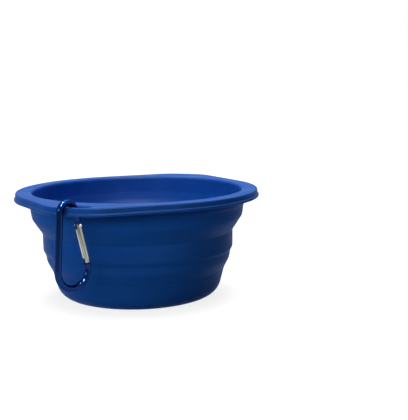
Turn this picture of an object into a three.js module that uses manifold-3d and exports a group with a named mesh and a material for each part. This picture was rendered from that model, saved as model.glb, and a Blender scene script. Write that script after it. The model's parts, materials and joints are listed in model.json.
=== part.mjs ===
// Collapsible silicone travel bowl for pets, with a pear-shaped snap clip in the slot of its rim.
// Millimetres, +Z up. The origin is the middle of the flat base, and the slotted ear points to -Y.

import * as THREE from 'three';
import { mergeVertices } from 'three/addons/utils/BufferGeometryUtils.js';
import Module from 'manifold-3d';

const wasm = await Module();
wasm.setup();

// Bowl wall: the rim's radius, the steps in from it to each band, and how far bands and necks draw in
const rimRadius = 65;
const flangeWidth = 7;
const upperStep = 7.1;
const lowerStep = 4.7;
const bandDraft = 0.1;
const footDraft = 4;
const neckDraft = 0.8;

// Bowl wall: heights of the stack, from the base up
const footBandHeight = 15.2;
const lowerSlantHeight = 5.1;
const lowerNeckHeight = 4.4;
const middleBandHeight = 9.1;
const upperSlantHeight = 7.9;
const upperNeckHeight = 5.5;
const rimBandHeight = 2.5;
const flangeThickness = 4.2;
const shoulderHeight = 1.8;

// Bowl wall: thicknesses and rounded corners
const thickWall = 2.3;
const foldWall = 1.2;
const floorThickness = 2.6;
const footRound = 9.2;
const floorRound = 6.5;
const kneeRound = 1.2;
const shoulderRound = 0.7;
const ledgeHeight = 1.4;
const mouthRound = 1.7;
const flangeEdgeRound = 1.4;
const flangeRootRound = 2;
const lipHeight = 1.7;
const lipStep = 0.7;
const lipRound = 0.3;
const lipUnderRound = 0.8;

// Ears of the rim, and the slot through the front one, which leaves a strap for the clip
const earReach = 10.2;
const earRootWidth = 83.6;
const earCornerRound = 3;
const strapWidth = 3.6;
const slotLength = 14.4;
const slotPlay = 1.7;

// Snap clip: overall size, its rod, and how it hangs
const clipLength = 44.3;
const clipWidth = 20.8;
const rodDiameter = 3.3;
const clipPlay = 0.35;
const clipTwist = THREE.MathUtils.degToRad(24);
const clipLean = THREE.MathUtils.degToRad(4.7);
const clipShift = -2.9;

// Snap clip: gate, its hinge and its latch
const gateDiameter = 3.1;
const hingeDrop = 6.3;
const noseRun = 0.2;
const endGap = 0.35;
const tongueThickness = 1;
const hingeTongueWidth = 2.6;
const noseTongueWidth = 2.2;
const noseTongueLength = 2;
const noseTongueRound = 0.5;
const sidePlay = 0.15;
const tipPlay = 0.3;
const swingPlay = 0.5;
const rivetDiameter = 1;
const rivetHeadDiameter = 1.7;
const rivetHeadHeight = 0.4;
const pinDiameter = 0.8;
const pinPlay = 0.1;

// Gate spring
const springBore = 1.7;
const springBoreDepth = 7;
const springPlay = 0.2;
const springWire = 0.3;
const springTurns = 7;

// Facets: segments of round forms, steps of a spring's turn and of a rounding
const bowlSegments = 60;
const rimSegments = 120;
const rodSides = 12;
const gateSides = 16;
const pinSides = 12;
const springSides = 6;
const springSteps = 8;
const roundSteps = 2;
const mergeDistance = 1e-4;

// Levels of the bowl wall
const footTop = footBandHeight;
const lowerKnee = footTop + lowerSlantHeight;
const lowerNeckTop = lowerKnee + lowerNeckHeight;
const middleBottom = lowerNeckTop + shoulderHeight;
const middleTop = middleBottom + middleBandHeight;
const upperKnee = middleTop + upperSlantHeight;
const upperNeckTop = upperKnee + upperNeckHeight;
const rimBandBottom = upperNeckTop + shoulderHeight;
const flangeBottom = rimBandBottom + rimBandHeight;
const flangeTop = flangeBottom + flangeThickness;
const flangeMiddle = (flangeBottom + flangeTop) / 2;

// Radii that follow: a neck thins the wall from outside, so the inside stays smooth
const rimBandRadius = rimRadius - flangeWidth;
const middleBandRadius = rimBandRadius - upperStep;
const footBandRadius = middleBandRadius - lowerStep;
const rimInner = rimBandRadius - thickWall;
const upperNeckRadius = rimInner + foldWall;
const upperKneeRadius = upperNeckRadius - neckDraft;
const middleLowRadius = middleBandRadius - bandDraft;
const lowerNeckRadius = middleLowRadius - thickWall + foldWall;
const lowerKneeRadius = lowerNeckRadius - neckDraft;
const footLowRadius = footBandRadius - footDraft;

const silicone = new THREE.MeshStandardMaterial({ color: 0x1d4fa3, roughness: 0.55, metalness: 0 });
const anodised = new THREE.MeshStandardMaterial({ color: 0x12347f, roughness: 0.22, metalness: 0.9 });
const bareMetal = new THREE.MeshStandardMaterial({ color: 0xc9c8c2, roughness: 0.3, metalness: 1 });

// A closed mesh as a solid that can be cut and joined: shared points merged, flat triangles dropped
function solidOf(geometry) {
  geometry.deleteAttribute('normal');
  geometry.deleteAttribute('uv');
  const merged = mergeVertices(geometry, mergeDistance);
  const corners = [];
  for (let i = 0; i < merged.index.count; i += 3) {
    const [a, b, c] = [0, 1, 2].map((k) => merged.index.getX(i + k));
    if (a !== b && b !== c && c !== a) corners.push(a, b, c);
  }
  const mesh = new wasm.Mesh({
    numProp: 3,
    vertProperties: new Float32Array(merged.attributes.position.array),
    triVerts: new Uint32Array(corners),
  });
  return new wasm.Manifold(mesh);
}

function piece(name, solid, material) {
  const { vertProperties, triVerts } = solid.getMesh();
  const geometry = new THREE.BufferGeometry();
  geometry.setAttribute('position', new THREE.BufferAttribute(vertProperties, 3));
  geometry.setIndex(new THREE.BufferAttribute(triVerts, 1));
  geometry.computeVertexNormals();
  const mesh = new THREE.Mesh(geometry, material);
  mesh.name = name;
  return mesh;
}

// Corners [radius, height, rounding] as a polyline, each rounding kept within its share of its sides
function rounded(corners, closed) {
  const points = corners.map(([r, z]) => new THREE.Vector2(r, z));
  const line = [];
  corners.forEach(([, , rounding = 0], i) => {
    const here = points[i];
    if (rounding === 0) {
      line.push(here);
      return;
    }
    const ends = [i - 1, i + 1].map((k) => {
      const next = (k + points.length) % points.length;
      const share = corners[next][2] ? 0.5 : 1;
      const along = rounding / here.distanceTo(points[next]);
      return here.clone().lerp(points[next], Math.min(along, share));
    });
    const steps = rounding > thickWall ? 2 * roundSteps : roundSteps;
    line.push(...new THREE.QuadraticBezierCurve(ends[0], here, ends[1]).getPoints(steps));
  });
  if (closed) line.push(line[0].clone());
  return line;
}

// A profile, followed upwards on the outside, turned round the Z axis
function revolved(corners, { closed, segments = bowlSegments }) {
  const geometry = new THREE.LatheGeometry(rounded(corners, closed), segments);
  return geometry.rotateX(Math.PI / 2);
}

// Rings of points with equal counts, joined side to side and capped at both ends
function lofted(rings) {
  const count = rings[0].length;
  const index = [];
  for (let k = 0; k + 1 < rings.length; k += 1) {
    for (let i = 0; i < count; i += 1) {
      const [a, b] = [k * count + i, k * count + ((i + 1) % count)];
      index.push(a, b, b + count, a, b + count, a + count);
    }
  }
  const last = (rings.length - 1) * count;
  for (let i = 1; i + 1 < count; i += 1) {
    index.push(0, i + 1, i, last, last + i, last + i + 1);
  }
  const geometry = new THREE.BufferGeometry().setFromPoints(rings.flat());
  return geometry.setIndex(index);
}

function box(x, y, z, place) {
  return solidOf(new THREE.BoxGeometry(x, y, z).translate(...place));
}

// A round bar along the clip's normal
function crossBar(diameter, length, y) {
  const bar = new THREE.CylinderGeometry(diameter / 2, diameter / 2, length, pinSides);
  return solidOf(bar.rotateX(Math.PI / 2).translate(0, y, 0));
}

function plate(shape, thickness) {
  const geometry = new THREE.ExtrudeGeometry(shape, {
    depth: thickness,
    bevelEnabled: false,
    curveSegments: pinSides,
  });
  return solidOf(geometry.translate(0, 0, -thickness / 2));
}

// Level thickness of a fold web where it slants
function slantAcross(height, run) {
  return (foldWall * Math.hypot(height, run)) / height;
}

const upperAcross = slantAcross(upperSlantHeight, upperKneeRadius - middleBandRadius);
const lowerAcross = slantAcross(lowerSlantHeight, lowerKneeRadius - footBandRadius);

// How far an ear pushes the rim's edge out at an angle from -Y: straight flanks leave the rim's circle as
// tangents and are rounded over into a tip that follows the rim
function earRise(angle) {
  const root = Math.asin(earRootWidth / 2 / rimRadius);
  const fromEar = Math.abs(Math.asin(Math.sin(angle)));
  const flank = rimRadius / Math.cos(Math.max(root - fromEar, 0)) - rimRadius;
  const share = THREE.MathUtils.clamp(0.5 + (earReach - flank) / 2 / earCornerRound, 0, 1);
  return THREE.MathUtils.lerp(earReach, flank, share) - earCornerRound * share * (1 - share);
}

// The slot: a long hole whose edges are rounded over at both faces of the flange
function slotCutter() {
  const width = rodDiameter + slotPlay;
  const half = flangeThickness / 2;
  const flareSteps = 2 * roundSteps;
  const levels = [-half - flangeEdgeRound];
  for (let i = 0; i <= flareSteps; i += 1) {
    levels.push(-half + flangeEdgeRound * (1 - Math.cos((Math.PI / 2) * (i / flareSteps))));
  }
  levels.push(...levels.map((z) => -z).reverse());
  const rings = levels.map((z) => {
    const intoEdge = THREE.MathUtils.clamp((Math.abs(z) - half) / flangeEdgeRound + 1, 0, 1);
    const flare = flangeEdgeRound * (1 - Math.sqrt(1 - intoEdge ** 2));
    const outline = new THREE.Path();
    const straight = (slotLength - width) / 2;
    outline.absarc(straight, 0, width / 2 + flare, -Math.PI / 2, Math.PI / 2, false);
    outline.absarc(-straight, 0, width / 2 + flare, Math.PI / 2, (3 * Math.PI) / 2, false);
    const points = outline.getPoints(rodSides / 2).slice(0, -1);
    return points.map((p) => new THREE.Vector3(p.x, p.y, z));
  });
  const middle = rimRadius + earReach - strapWidth - width / 2;
  return solidOf(lofted(rings).translate(0, -middle, flangeMiddle));
}

function rimFlange() {
  const lipTop = flangeBottom + lipHeight;
  const geometry = revolved(
    [
      [rimInner, upperNeckTop],
      [upperNeckRadius, upperNeckTop],
      [rimBandRadius, rimBandBottom, shoulderRound],
      [rimBandRadius, flangeBottom, flangeRootRound],
      [rimRadius, flangeBottom, lipUnderRound],
      [rimRadius, lipTop, lipRound],
      [rimRadius - lipStep, lipTop],
      [rimRadius - lipStep, flangeTop, flangeEdgeRound],
      [rimInner, flangeTop, mouthRound],
    ],
    { closed: true, segments: rimSegments },
  );
  const place = geometry.attributes.position;
  const edgeStart = (rimBandRadius + rimRadius) / 2;
  for (let i = 0; i < place.count; i += 1) {
    const [x, y] = [place.getX(i), place.getY(i)];
    const radius = Math.hypot(x, y);
    if (radius > edgeStart) {
      const grow = 1 + earRise(Math.atan2(x, -y)) / radius;
      place.setXY(i, x * grow, y * grow);
    }
  }
  return piece('rim_flange', solidOf(geometry).subtract(slotCutter()), silicone);
}

// A thin fold web: an upright neck, a knee, and a slant down to the next band
function foldWeb(name, neckTop, neckRadius, knee, kneeRadius, foot, footRadius) {
  const across = slantAcross(knee - foot, kneeRadius - footRadius);
  const innerKnee = knee + ((across - foldWall) * (knee - foot)) / (kneeRadius - footRadius);
  const web = revolved(
    [
      [footRadius - across, foot],
      [footRadius, foot],
      [kneeRadius, knee, kneeRound],
      [neckRadius, neckTop],
      [neckRadius - foldWall, neckTop],
      [kneeRadius - foldWall, innerKnee, kneeRound],
    ],
    { closed: true },
  );
  return piece(name, solidOf(web), silicone);
}

function middleBand() {
  const band = revolved(
    [
      [lowerNeckRadius - foldWall, lowerNeckTop],
      [lowerNeckRadius, lowerNeckTop],
      [middleLowRadius, middleBottom, shoulderRound],
      [middleBandRadius, middleTop],
      [middleBandRadius - upperAcross, middleTop],
      [middleBandRadius - thickWall, middleTop - ledgeHeight, shoulderRound],
    ],
    { closed: true },
  );
  return piece('middle_band', solidOf(band), silicone);
}

function baseCup() {
  const cup = revolved(
    [
      [0, 0],
      [footLowRadius, 0, footRound],
      [footBandRadius, footTop],
      [footBandRadius - lowerAcross, footTop],
      [footBandRadius - thickWall, footTop - ledgeHeight, shoulderRound],
      [footLowRadius - thickWall, floorThickness, floorRound],
      [0, floorThickness],
    ],
    { closed: false },
  );
  return piece('base_cup', solidOf(cup), silicone);
}

// Clip plan, with the small end's centre at 0,0, the big end below it and the gate on the +X side
const strapReach = Math.hypot(
  strapWidth / 2 / Math.cos(clipTwist) - flangeEdgeRound,
  flangeThickness / 2 - flangeEdgeRound,
) + flangeEdgeRound;
const smallRadius = strapReach + clipPlay + rodDiameter / 2;
const bigRadius = (clipWidth - rodDiameter) / 2;
const centreDistance = clipLength - rodDiameter - smallRadius - bigRadius;
const flare = Math.asin((bigRadius - smallRadius) / centreDistance);
const legLength = centreDistance * Math.cos(flare);
const hingeRun = hingeDrop + endGap + gateDiameter / 2;
const gateReach = legLength - hingeRun - endGap - noseRun;

// A point on the gate's leg, a distance below the small end's arc
function onLeg(distance) {
  return new THREE.Vector2(
    smallRadius * Math.cos(flare) + distance * Math.sin(flare),
    smallRadius * Math.sin(flare) - distance * Math.cos(flare),
  );
}

// A flat curve, such as a path of lines and arcs, set in space
class FlatCurve extends THREE.Curve {
  constructor(path) {
    super();
    this.path = path;
  }

  getPoint(t) {
    const { x, y } = this.path.getPoint(t);
    return new THREE.Vector3(x, y, 0);
  }
}

class Helix extends THREE.Curve {
  constructor(radius, length, turns) {
    super();
    Object.assign(this, { radius, length, turns });
  }

  getPoint(t) {
    const turn = 2 * Math.PI * this.turns * t;
    return new THREE.Vector3(this.radius * Math.cos(turn), -this.length * t, this.radius * Math.sin(turn));
  }
}

function rodAlong(curve, diameter, sides, steps) {
  const section = new THREE.Shape();
  section.absarc(0, 0, diameter / 2, 0, 2 * Math.PI, false);
  return new THREE.ExtrudeGeometry(section, {
    steps,
    extrudePath: curve,
    bevelEnabled: false,
    curveSegments: sides / 2,
  });
}

// Places on the gate's own axis, with 0 at the rivet and the nose downwards
const gateRadius = gateDiameter / 2;
const hingeShoulder = gateRadius + endGap;
const noseShoulder = -gateReach - endGap;
const noseTip = noseShoulder + endGap + noseTongueLength;
const latchPlace = noseShoulder + endGap + noseTongueLength / 2;
const hingeSlotEnd = -hingeTongueWidth / 2 - tipPlay;
const tongueRoot = rodDiameter / 2;

function hingeTongue() {
  const half = hingeTongueWidth / 2;
  const outline = new THREE.Shape();
  outline.moveTo(half, hingeShoulder + tongueRoot);
  outline.lineTo(-half, hingeShoulder + tongueRoot);
  outline.absarc(0, 0, half, Math.PI, 2 * Math.PI, false);
  outline.closePath();
  return plate(outline, tongueThickness);
}

function noseTongue() {
  const half = noseTongueWidth / 2;
  const round = noseTongueRound;
  const outline = new THREE.Shape();
  outline.moveTo(-half, noseShoulder - tongueRoot);
  outline.lineTo(half, noseShoulder - tongueRoot);
  outline.absarc(half - round, noseTip - round, round, 0, Math.PI / 2, false);
  outline.absarc(-half + round, noseTip - round, round, Math.PI / 2, Math.PI, false);
  outline.closePath();
  return plate(outline, tongueThickness);
}

// The tongues are drawn on the gate's axis, so the rod's route is turned to it as well
function clipFrame() {
  const [start, end] = [onLeg(hingeDrop), onLeg(legLength - noseRun)];
  const route = new THREE.Path();
  route.moveTo(start.x, start.y);
  route.lineTo(...onLeg(0).toArray());
  route.absarc(0, 0, smallRadius, flare, Math.PI - flare, false);
  route.absarc(0, -centreDistance, bigRadius, Math.PI - flare, 2 * Math.PI + flare, false);
  route.lineTo(end.x, end.y);
  const steps = Math.round((2 * route.getLength()) / rodDiameter);
  const rod = rodAlong(new FlatCurve(route), rodDiameter, rodSides, steps);
  const rivet = onLeg(hingeRun);
  const frame = solidOf(rod.translate(-rivet.x, -rivet.y, 0).rotateZ(-flare))
    .add(hingeTongue())
    .add(noseTongue())
    .subtract(crossBar(rivetDiameter + 2 * pinPlay, rodDiameter, 0))
    .subtract(crossBar(pinDiameter + 2 * pinPlay, rodDiameter, latchPlace));
  return piece('clip_frame', frame, anodised);
}

function clipGate() {
  const domeSteps = 2 * roundSteps;
  const dome = [];
  for (let i = 0; i < domeSteps; i += 1) {
    const angle = (Math.PI / 2) * (i / domeSteps);
    dome.push(new THREE.Vector2(gateRadius * Math.cos(angle), gateRadius * Math.sin(angle)));
  }
  dome.push(new THREE.Vector2(0, gateRadius));
  const outline = [new THREE.Vector2(0, -gateReach), new THREE.Vector2(gateRadius, -gateReach), ...dome];
  const rod = solidOf(new THREE.LatheGeometry(outline, gateSides));

  const slotWidth = tongueThickness + 2 * sidePlay;
  const hingeSlotDepth = gateRadius - hingeSlotEnd;
  const hingeSlot = box(
    gateDiameter,
    2 * hingeSlotDepth,
    slotWidth,
    [0, hingeSlotEnd + hingeSlotDepth, 0],
  );
  const noseSlotEnd = noseTip + swingPlay;
  const noseSlotDepth = noseSlotEnd + gateReach;
  const noseSlot = box(
    gateDiameter,
    2 * noseSlotDepth,
    slotWidth,
    [0, noseSlotEnd - noseSlotDepth, 0],
  );
  const notchWidth = pinDiameter + 2 * sidePlay;
  const latchNotch = box(gateDiameter, notchWidth, gateDiameter, [gateDiameter / 2, latchPlace, 0]);
  const bore = new THREE.CylinderGeometry(springBore / 2, springBore / 2, springBoreDepth, pinSides);
  bore.translate(0, hingeSlotEnd - springBoreDepth / 2 + tipPlay / 2, 0);
  const gate = rod
    .subtract(hingeSlot)
    .subtract(noseSlot)
    .subtract(crossBar(rivetDiameter + 2 * pinPlay, 2 * gateDiameter, 0))
    .subtract(crossBar(notchWidth, gateDiameter, latchPlace))
    .subtract(latchNotch)
    .subtract(solidOf(bore));
  return piece('clip_gate', gate, bareMetal);
}

function hingeRivet() {
  const shank = rivetDiameter / 2;
  const head = rivetHeadDiameter / 2;
  const under = gateRadius + pinPlay;
  const top = under + rivetHeadHeight;
  const corners = [
    [0, -top],
    [head, -top, rivetHeadHeight],
    [head, -under],
    [shank, -under],
    [shank, under],
    [head, under],
    [head, top, rivetHeadHeight],
    [0, top],
  ];
  const rivet = new THREE.LatheGeometry(rounded(corners, false), pinSides).rotateX(Math.PI / 2);
  return piece('gate_hinge_rivet', solidOf(rivet), bareMetal);
}

function latchPin() {
  return piece('latch_pin', crossBar(pinDiameter, gateDiameter - 2 * pinPlay, latchPlace), bareMetal);
}

function gateSpring() {
  const radius = (springBore - springWire) / 2 - springPlay;
  const length = springBoreDepth - tipPlay - springWire - 2 * springPlay;
  const helix = new Helix(radius, length, springTurns);
  const coil = rodAlong(helix, springWire, springSides, Math.round(springSteps * springTurns));
  const spring = piece('gate_spring', solidOf(coil), bareMetal);
  spring.position.y = hingeSlotEnd - springWire / 2 - springPlay;
  return spring;
}

// The gate's axis, within the leaning clip, within the plane in which the clip hangs
const gateAxis = new THREE.Group();
gateAxis.position.set(...onLeg(hingeRun).toArray(), 0);
gateAxis.rotation.z = flare;
gateAxis.add(clipFrame(), clipGate(), hingeRivet(), latchPin(), gateSpring());

const hangingClip = new THREE.Group();
hangingClip.rotation.z = clipLean;
hangingClip.add(gateAxis);

const clipPlane = new THREE.Group();
clipPlane.position.set(clipShift, -(rimRadius + earReach - strapWidth / 2), flangeMiddle);
clipPlane.rotation.set(Math.PI / 2, 0, Math.PI / 2 - clipTwist, 'ZYX');
clipPlane.add(hangingClip);

const petBowl = new THREE.Group();
petBowl.add(
  rimFlange(),
  foldWeb(
    'upper_fold',
    upperNeckTop,
    upperNeckRadius,
    upperKnee,
    upperKneeRadius,
    middleTop,
    middleBandRadius,
  ),
  middleBand(),
  foldWeb('lower_fold', lowerNeckTop, lowerNeckRadius, lowerKnee, lowerKneeRadius, footTop, footBandRadius),
  baseCup(),
  clipPlane,
);

export default petBowl;
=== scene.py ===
"""Looks of a folding silicone pet bowl and its snap clip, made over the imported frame. Lengths in metres."""

import json
import math

import bmesh
import bpy
import numpy as np
from bpy.props import FloatProperty, FloatVectorProperty, PointerProperty
from mathutils import Matrix, Vector

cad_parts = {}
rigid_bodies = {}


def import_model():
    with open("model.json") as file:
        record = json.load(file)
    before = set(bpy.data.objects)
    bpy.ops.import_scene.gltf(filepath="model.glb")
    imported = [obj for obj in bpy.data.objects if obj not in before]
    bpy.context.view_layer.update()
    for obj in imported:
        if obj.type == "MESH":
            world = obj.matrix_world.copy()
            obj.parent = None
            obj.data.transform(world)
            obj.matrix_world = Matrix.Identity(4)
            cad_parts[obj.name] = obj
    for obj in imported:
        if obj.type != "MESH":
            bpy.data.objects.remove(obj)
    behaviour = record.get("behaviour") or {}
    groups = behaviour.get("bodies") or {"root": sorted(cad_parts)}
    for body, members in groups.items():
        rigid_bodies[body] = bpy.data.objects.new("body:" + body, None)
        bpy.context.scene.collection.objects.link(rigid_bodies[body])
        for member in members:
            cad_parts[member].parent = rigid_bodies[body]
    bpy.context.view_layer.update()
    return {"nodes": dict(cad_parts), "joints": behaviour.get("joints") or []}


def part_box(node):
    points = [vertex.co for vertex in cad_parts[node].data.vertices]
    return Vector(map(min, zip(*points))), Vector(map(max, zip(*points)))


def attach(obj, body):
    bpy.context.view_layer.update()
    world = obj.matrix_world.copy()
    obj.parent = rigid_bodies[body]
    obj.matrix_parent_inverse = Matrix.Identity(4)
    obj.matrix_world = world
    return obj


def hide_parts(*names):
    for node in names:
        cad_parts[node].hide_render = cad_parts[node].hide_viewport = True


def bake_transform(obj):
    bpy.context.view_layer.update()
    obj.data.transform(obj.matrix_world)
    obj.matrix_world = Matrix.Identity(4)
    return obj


bl_info = {
    "name": "Folding pet bowl",
    "version": (1, 0, 0),
    "blender": (4, 5, 0),
    "location": "3D View > Sidebar > Pet bowl",
    "description": "Makes a folding silicone pet bowl with a snap clip, and a studio stage for it",
    "category": "Add Mesh",
}

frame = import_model()

MM = 0.001
JOINTS = {joint["name"]: joint for joint in frame["joints"]}
RIM_LOW, RIM_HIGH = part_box("rim_flange")
BAND_LOW, BAND_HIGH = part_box("middle_band")
FOOT_LOW, FOOT_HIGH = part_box("base_cup")

# Fineness of the surfaces
BOWL_COLUMNS = 360
BOWL_ROW_STEP = 0.9 * MM
PIN_ROW_STEP = 1 * MM
ROD_SIDES = 32
FLOOR_SIDES = 96
ARC_STEPS = 8
SMALL_BEND_STEPS = 40
BIG_BEND_STEPS = 72
SPINE_ROWS = 25
LEG_ROWS = 9
GATE_ROWS = 33
SMALLEST_GAP = 0.001 * MM
SMOOTH_ANGLE = math.radians(32)

# Small flats where a surface closes: their radii, and the angles by which a rounded tip stops short
BOWL_POLE = 0.1 * MM
PIN_POLE = 0.05 * MM
FLOOR_POLE = 10 * MM
TONGUE_TIP = 0.12
DOME_TIP = 0.06

# How far a web's neck keeps to the band above it, and the height over which a web's mark, a painted glow of
# light seen through its thin wall, fades
THIN_FADE = 1 * MM

# Exponents of the rod's cross-section
ROUND_ROD = 2.0
FLAT_TONGUE = 9.0

# Stage: the floor's slab, the radii over which its glow grows out of a painted shadow round the bowl's foot,
# and the depths over which the room brightens
FLOOR_RADIUS = 1.4
FLOOR_DEPTH = 20 * MM
FLOOR_DROP = 0.05 * MM
PAINTED_SHADOW_RADII = (0.04, 0.062)
FLOOR_DEPTHS = (-0.45, -0.1)
ROOM_DEPTHS = (-0.65, -0.1)
BOWL_MIDDLE = (0, 0, 0.03)
SENSOR_WIDTH = 36


def number(name, description, default, **kind):
    return FloatProperty(name=name, description=description, default=default, **kind)


def length(name, description, millimetres):
    return number(name, description, millimetres * MM, min=0, precision=5, unit="LENGTH")


def angle(name, description, degrees):
    return number(name, description, math.radians(degrees), subtype="ANGLE", unit="ROTATION")


def power(name, description, watts):
    return number(name, description, watts, min=0, unit="POWER")


def level(name, description, share):
    return number(name, description, share, min=0, subtype="FACTOR")


def colour(name, description, *rgb):
    return FloatVectorProperty(name=name, description=description, default=rgb, min=0, max=1, subtype="COLOR")


class BowlSizes(bpy.types.PropertyGroup):
    """Sizes of the silicone moulding; its levels and band radii come from the frame"""

    rim_radius: length("Rim radius", "Radius of the rim's lip, away from the ears", 65)
    rim_band_radius: length("Rim band radius", "Outer radius of the band under the flange", 58)
    flange_thickness: length("Flange thickness", "Thickness of the flange and its ears", 4.2)
    lip_height: length("Lip height", "Height of the lip round the flange", 1.7)
    lip_step: length("Lip step", "How far the lip stands out", 0.7)
    ear_root_width: length("Ear root width", "Width over which an ear runs into the rim", 83.6)
    ear_corner_round: length("Ear corner round", "Rounding of an ear's two corners", 3)
    strap_width: length("Strap width", "Silicone between slot and ear's end", 3.6)
    slot_length: length("Slot length", "Length of the slot in the front ear", 14.4)
    slot_width: length("Slot width", "Width of the slot in the front ear", 5)
    thick_wall: length("Thick wall", "Wall of the rim, middle and foot bands", 2.3)
    fold_wall: length("Fold wall", "Wall of the webs that turn over", 1.2)
    floor_thickness: length("Floor thickness", "Thickness of the bowl's floor", 2.6)
    upper_slant: length("Upper slant", "Height of the upper web's slope", 7.9)
    lower_slant: length("Lower slant", "Height of the lower web's slope", 5.1)
    upper_shelf: length("Upper shelf", "Spread of the upper web's slope", 5.2)
    lower_shelf: length("Lower shelf", "Spread of the lower web's slope", 2.7)
    shoulder_height: length("Shoulder height", "Height of the step from a web to the band above", 1.8)
    ledge_height: length("Ledge height", "Height of the inner step from a band to the web above", 1.4)
    band_draft: length("Band draft", "How far the middle band draws in downwards", 0.1)
    foot_draft: length("Foot draft", "How far the foot draws in downwards", 4)
    neck_draft: length("Neck draft", "How far a web's neck draws in downwards", 0.8)
    foot_round: length("Foot round", "Rounding of the base's outer edge", 9.2)
    floor_round: length("Floor round", "Rounding between floor and wall inside", 6.5)
    knee_round: length("Knee round", "Rounding of a web's knee", 1.2)
    shoulder_round: length("Shoulder round", "Rounding of a band's lower edge", 0.7)
    mouth_round: length("Mouth round", "Rounding of the bowl's inner mouth", 1.7)
    flange_edge_round: length("Flange edge round", "Rounding of the flange's upper edge", 0.9)
    flange_root_round: length("Flange root round", "Rounding under the flange", 2)
    lip_slope: length("Lip slope", "Fall of the sloping ledge on top of the lip", 0.5)
    lip_round: length("Lip round", "Rounding of the ledge's outer edge", 0.15)
    lip_under_round: length("Lip under round", "Rounding of the lip's lower edge", 0.8)
    slot_round: length("Slot round", "Rounding of the slot's edges", 1.2)
    soft_edge: length("Soft edge", "Rounding of the mould's smaller edges", 0.45)


class ClipSizes(bpy.types.PropertyGroup):
    """Sizes of the snap clip; its pivots and its lean come from the frame's joints"""

    clip_length: length("Clip length", "Length of the clip overall", 44.3)
    clip_width: length("Clip width", "Width of the clip overall", 20.8)
    rod_diameter: length("Rod diameter", "Diameter of the bow's rod", 3.3)
    hinge_run: length("Hinge run", "Distance of the gate's rivet from the small bend", 8.2)
    hinge_drop: length("Hinge drop", "Round rod between small bend and hinge tongue", 6.3)
    nose_run: length("Nose run", "Round rod between big bend and nose tongue", 0.2)
    end_gap: length("End gap", "Gap from the gate's ends to the bow's shoulders", 0.35)
    tongue_thickness: length("Tongue thickness", "Thickness of the two flattened ends", 1)
    hinge_tongue_width: length("Hinge tongue width", "Width of the tongue at the hinge", 2.6)
    nose_tongue_width: length("Nose tongue width", "Width of the tongue at the nose", 2.2)
    nose_tongue_length: length("Nose tongue length", "How far the nose tongue reaches into the gate", 2)
    nose_tongue_round: length("Nose tongue round", "Rounding of the nose tongue's corners", 0.5)
    gate_diameter: length("Gate diameter", "Diameter of the gate's rod", 3.1)
    side_play: length("Side play", "Play beside a tongue in its slot", 0.15)
    tip_play: length("Tip play", "Play beyond the hinge tongue", 0.3)
    swing_play: length("Swing play", "Room over the nose tongue for the gate's swing", 0.5)
    rivet_diameter: length("Rivet diameter", "Diameter of the rivet's shank", 1)
    rivet_head_diameter: length("Rivet head diameter", "Diameter of the rivet's heads", 1.7)
    rivet_head_height: length("Rivet head height", "Height of the rivet's heads", 0.4)
    pin_diameter: length("Pin diameter", "Diameter of the latch pin", 0.8)
    pin_play: length("Pin play", "Play round the pins", 0.1)
    spring_bore: length("Spring bore", "Diameter of the gate's bore for its spring", 1.7)
    spring_bore_depth: length("Spring bore depth", "Depth of the gate's bore for its spring", 7)
    edge_break: length("Edge break", "Chamfer of the rods' ends and shoulders", 0.2)


class Finishes(bpy.types.PropertyGroup):
    """Colours of the finishes, linear"""

    silicone: colour("Silicone", "Thick silicone", 0.009, 0.110, 0.50)
    # The pale colour serves both random paler patches and painted light seen through the thin webs
    silicone_pale_and_lit_through: colour("Pale silicone", "Thin or rubbed silicone", 0.013, 0.132, 0.57)
    anodised: colour("Anodised", "Dyed aluminium of the bow", 0.003, 0.020, 0.095)
    anodised_pale: colour("Pale anodised", "Rubbed places of the dyed aluminium", 0.007, 0.042, 0.170)
    anodised_edge: colour("Anodised edge", "Tint of the dyed aluminium seen edge on", 0.04, 0.19, 0.58)
    bare_metal: colour("Bare metal", "Aluminium of the gate", 0.45, 0.46, 0.43)
    bare_metal_dull: colour("Dull bare metal", "Handled places of the gate", 0.13, 0.134, 0.118)
    steel: colour("Steel", "Rivet, pin and spring", 0.70, 0.70, 0.69)
    steel_dull: colour("Dull steel", "Dull places of the steel", 0.46, 0.46, 0.46)
    backdrop: colour("Backdrop", "Floor, backdrop and surroundings", 1, 1, 1)


class StageSettings(bpy.types.PropertyGroup):
    """Camera and lights of the studio stage"""

    camera_place: FloatVectorProperty(
        name="Camera place",
        description="Where the camera stands",
        default=(0.19315, -0.43333, 0.1166),
        subtype="TRANSLATION",
        unit="LENGTH",
    )
    camera_heading: angle("Camera heading", "Turn of the camera about the bowl's axis", 19.72)
    camera_tilt: angle("Camera tilt", "How far the camera looks down", 8.57)
    camera_roll: angle("Camera roll", "Turn of the picture about its middle", -0.72)
    camera_lens: number(
        "Camera lens", "Focal length in millimetres on a 36 mm frame", 76.17, min=1, unit="CAMERA"
    )
    softbox_power: power("Softbox power", "Power of the large lamp overhead", 9.2)
    fill_power: power("Fill power", "Power of the large lamp in front", 3.5)
    spark_power: power("Spark power", "Power of the small lamps that glint on the clip", 24)
    ambient: level("Ambient", "Level of the light from all round", 0.01)
    room: level("Room", "Level of the mirrored room in front of the backdrop", 0.3)
    floor_bounce: level("Floor bounce", "Share of light the floor gives back to the bowl", 0.2)
    floor_shade: level("Floor shade", "Share of light the camera sees on the floor", 0.2)
    # Painted shadow: this is the floor's glow next to the bowl's foot, lower than elsewhere, so the floor is
    # darker round the foot
    painted_shadow_glow: level("Floor glow", "Level of the floor to the camera, without light on it", 0.84)


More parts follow.
